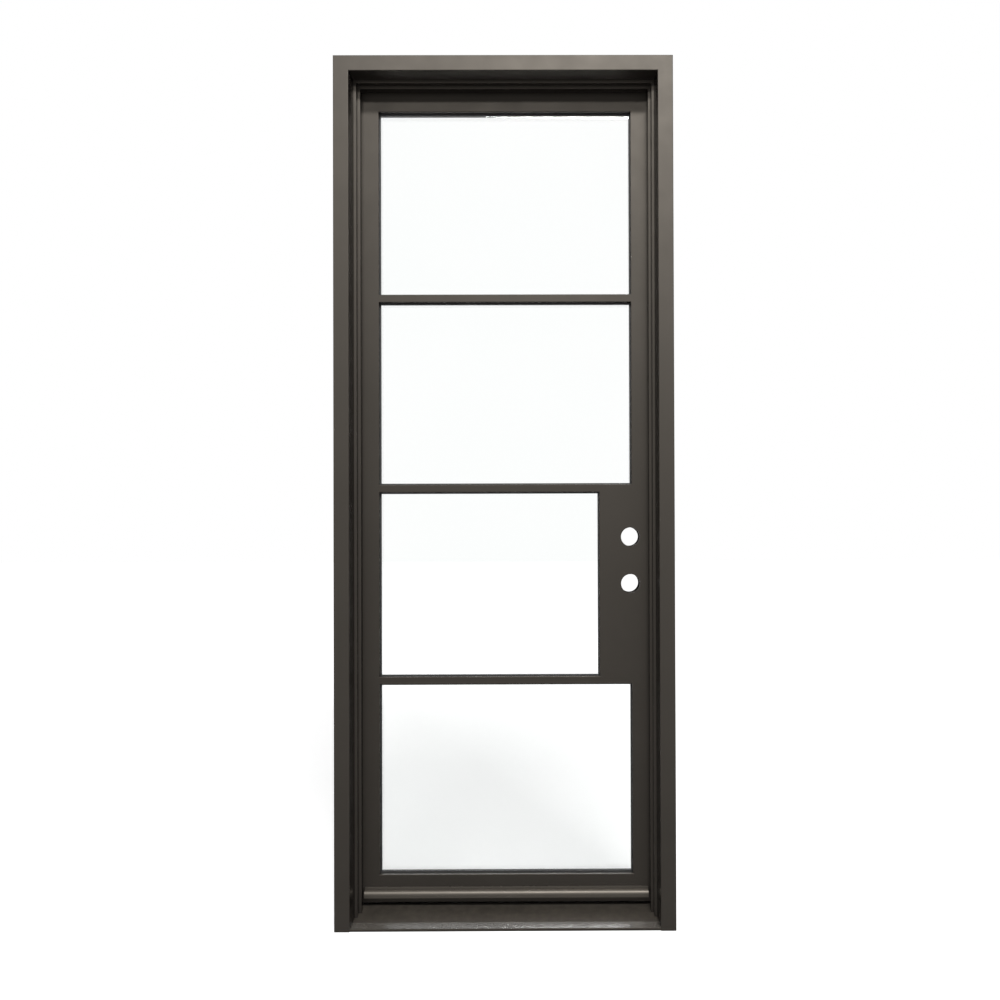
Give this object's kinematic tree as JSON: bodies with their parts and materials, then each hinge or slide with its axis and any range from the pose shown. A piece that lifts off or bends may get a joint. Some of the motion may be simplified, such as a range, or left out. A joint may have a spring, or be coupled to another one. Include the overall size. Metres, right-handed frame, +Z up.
{
  "type": "wrought iron entrance door with frame",
  "caption": "Tall glazed steel entrance door leaf on barrel hinges in its own stepped, mitred steel frame with sill, without the wall.",
  "frame": {"origin": "on the floor at the middle of the frame's width and depth, on the sill's underside", "axes": "+X to the right seen from outside, +Y from outside to inside, +Z up"},
  "size_m": [0.95, 0.1615, 2.44],
  "materials": {
    "frame_paint": "semi-gloss dark bronze paint",
    "leaf_paint": "semi-gloss dark bronze paint",
    "hinge_paint": "semi-gloss dark bronze paint",
    "clear_glass": "clear polished",
    "black_rubber": "matt",
    "block_rubber": "matt",
    "spacer_metal": "dark anodised",
    "carrier_metal": "dark anodised",
    "brush_fibre": "brush fibre",
    "pin_steel": "ground",
    "ring_brass": "turned"
  },
  "bodies": {
    "frame": {"head": "frame_paint", "hinge_frame_halves": "hinge_paint", "hinge_pins": "pin_steel", "hinge_thrust_rings": "ring_brass", "jamb_hinge_side": "frame_paint", "jamb_strike_side": "frame_paint", "sill": "frame_paint", "weatherstrip_head": "black_rubber", "weatherstrip_hinge_side": "black_rubber", "weatherstrip_strike_side": "black_rubber"},
    "leaf": {"beads_bottom": "leaf_paint", "beads_lower": "leaf_paint", "beads_top": "leaf_paint", "beads_upper": "leaf_paint", "drip_bar": "leaf_paint", "glass_inner_bottom": "clear_glass", "glass_inner_lower": "clear_glass", "glass_inner_top": "clear_glass", "glass_inner_upper": "clear_glass", "glass_outer_bottom": "clear_glass", "glass_outer_lower": "clear_glass", "glass_outer_top": "clear_glass", "glass_outer_upper": "clear_glass", "glass_spacer_bottom": "spacer_metal", "glass_spacer_lower": "spacer_metal", "glass_spacer_top": "spacer_metal", "glass_spacer_upper": "spacer_metal", "glazing_bar_lower": "leaf_paint", "glazing_bar_middle": "leaf_paint", "glazing_bar_upper": "leaf_paint", "hinge_leaf_halves": "hinge_paint", "lock_panel": "leaf_paint", "rail_bottom": "leaf_paint", "rail_top": "leaf_paint", "seal_inner_bottom": "black_rubber", "seal_inner_lower": "black_rubber", "seal_inner_top": "black_rubber", "seal_inner_upper": "black_rubber", "seal_outer_bottom": "black_rubber", "seal_outer_lower": "black_rubber", "seal_outer_top": "black_rubber", "seal_outer_upper": "black_rubber", "setting_blocks": "block_rubber", "stile_hinge_side": "leaf_paint", "stile_lock_lower": "leaf_paint", "stile_lock_upper": "leaf_paint", "sweep_brush": "brush_fibre", "sweep_carrier": "carrier_metal"}
  },
  "joints": [
    {"name": "leaf_swing", "type": "hinge", "parent": "frame", "child": "leaf", "pos_m": [-0.42275, 0.081, 1.21375], "axis": [0, 0, 1], "range_deg": [0, 170]}
  ]
}
